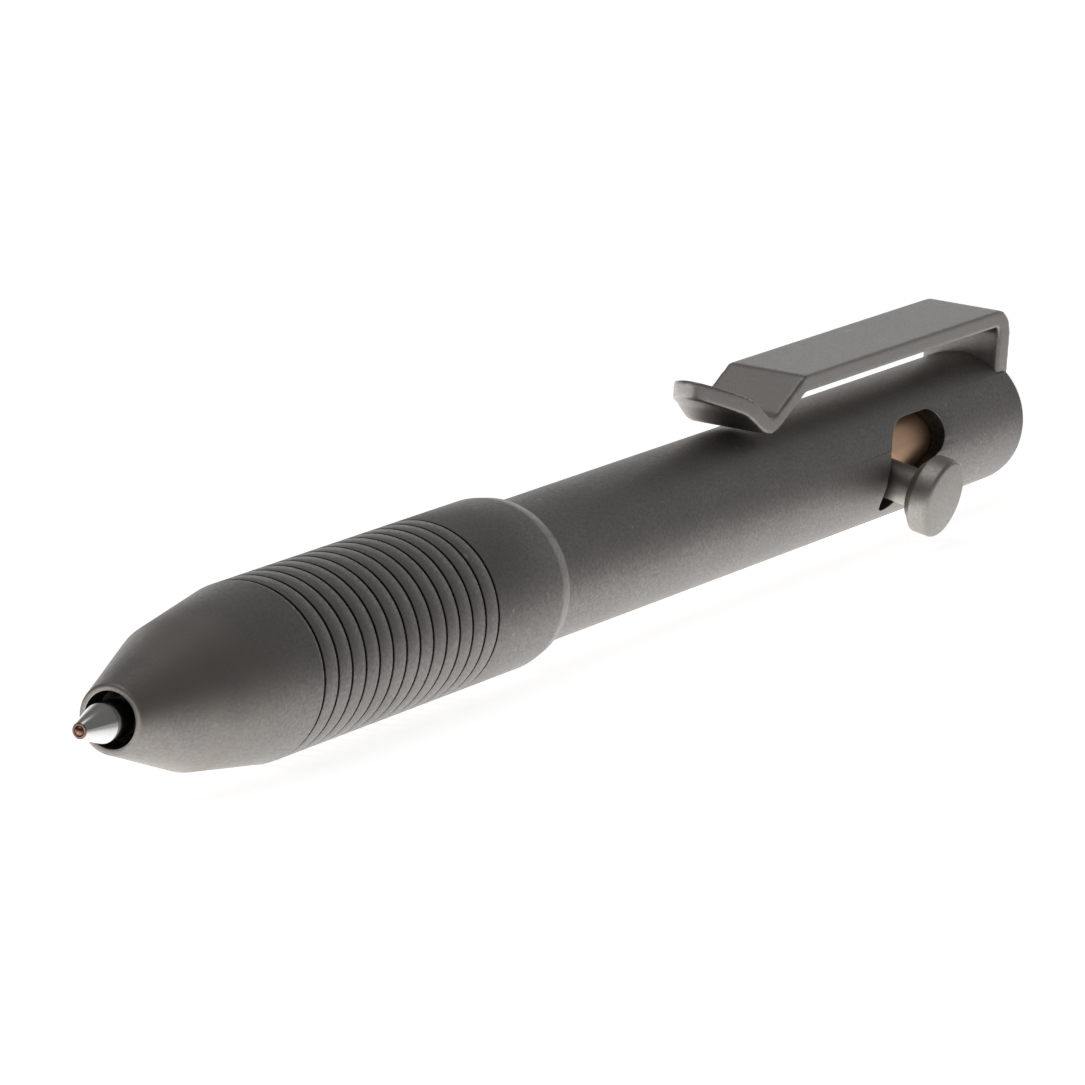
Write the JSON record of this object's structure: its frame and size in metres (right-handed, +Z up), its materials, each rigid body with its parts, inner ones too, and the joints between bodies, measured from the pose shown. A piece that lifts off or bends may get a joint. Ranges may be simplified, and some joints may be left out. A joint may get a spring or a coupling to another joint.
{
  "type": "pen",
  "caption": "Bolt-action pocket pen: a grooved metal grip screwed to a tube barrel, with a spring clip and a sliding bolt that works a sprung refill.",
  "frame": {"origin": "on the pen's axis, at the middle of the full-width grip", "axes": "+X along the pen from the nose to the tail, +Z up as the pen lies on a table on its grip and the knob, the bolt's knob to -Y"},
  "size_m": [0.1243, 0.0151, 0.0155],
  "materials": {
    "titanium_body": "matte",
    "titanium_clip": "satin",
    "titanium_knob": "satin",
    "copper_plunger": "satin",
    "point_steel": "polished",
    "carbide_ball": "polished",
    "neck_brass": "satin",
    "refill_steel": "satin",
    "screw_steel": "satin",
    "spring_steel": "satin",
    "crown_plastic": "matte",
    "ink_blue": "gloss",
    "seal_rubber": "matte"
  },
  "bodies": {
    "root": {"grip_section": "titanium_body", "thread_seal": "seal_rubber", "barrel": "titanium_body", "clip": "titanium_clip", "clip_screw": "screw_steel", "return_spring": "spring_steel"},
    "refill": {"point_ball": "carbide_ball", "point_socket": "point_steel", "refill_neck": "neck_brass", "refill_tube": "refill_steel", "refill_crown": "crown_plastic", "ink_column": "ink_blue"},
    "bolt": {"plunger": "copper_plunger", "bolt_knob": "titanium_knob"}
  },
  "joints": [
    {"name": "refill_slide", "type": "slide", "parent": "root", "child": "refill", "axis": [1, 0, 0], "range_m": [0, 0.006], "deforming": ["return_spring"]},
    {"name": "bolt_turn", "type": "hinge", "parent": "refill", "child": "bolt", "pos_m": [0, 0, 0], "axis": [1, 0, 0], "range_deg": [-33, 0]}
  ],
  "couplings": [
    {"joint": "bolt_turn", "follows": "refill_slide", "rad_per_m": -95.99}
  ]
}
